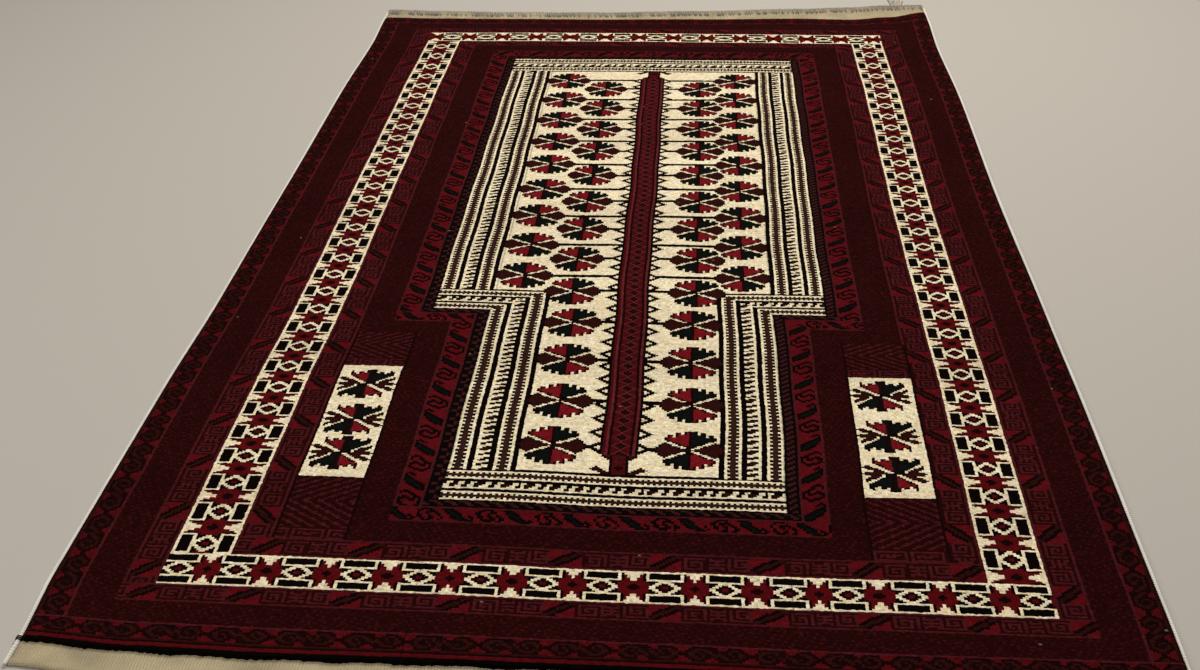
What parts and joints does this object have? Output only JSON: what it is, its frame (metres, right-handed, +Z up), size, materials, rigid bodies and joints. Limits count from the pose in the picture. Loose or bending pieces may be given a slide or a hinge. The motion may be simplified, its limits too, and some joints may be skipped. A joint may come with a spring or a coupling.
{
  "type": "flat knotted prayer rug",
  "caption": "Knotted wool prayer rug lying flat, with flat-woven ends, wrapped side cords and a loose tuft of warp ends at one corner",
  "frame": {"origin": "centre of the bounding box, on the floor that the rug lies on", "axes": "+Y along the rug towards its far end, where the arch of the field is widest; +X to the right seen from the near end; +Z up"},
  "size_m": [1.1067, 1.8028, 0.0085],
  "materials": {
    "wool_pile": "knotted wool pile in dark reds, black and ivory",
    "flat_weave": "plain undyed flat weave at both ends",
    "cord_wrap": "grey-white yarn wrapped round the side cords and over the far hem",
    "warp_yarn": "loose undyed warp yarn"
  },
  "bodies": {
    "root": {"rug_body": "wool_pile", "side_cord_left": "cord_wrap", "side_cord_right": "cord_wrap", "corner_tuft": "warp_yarn"}
  },
  "joints": []
}
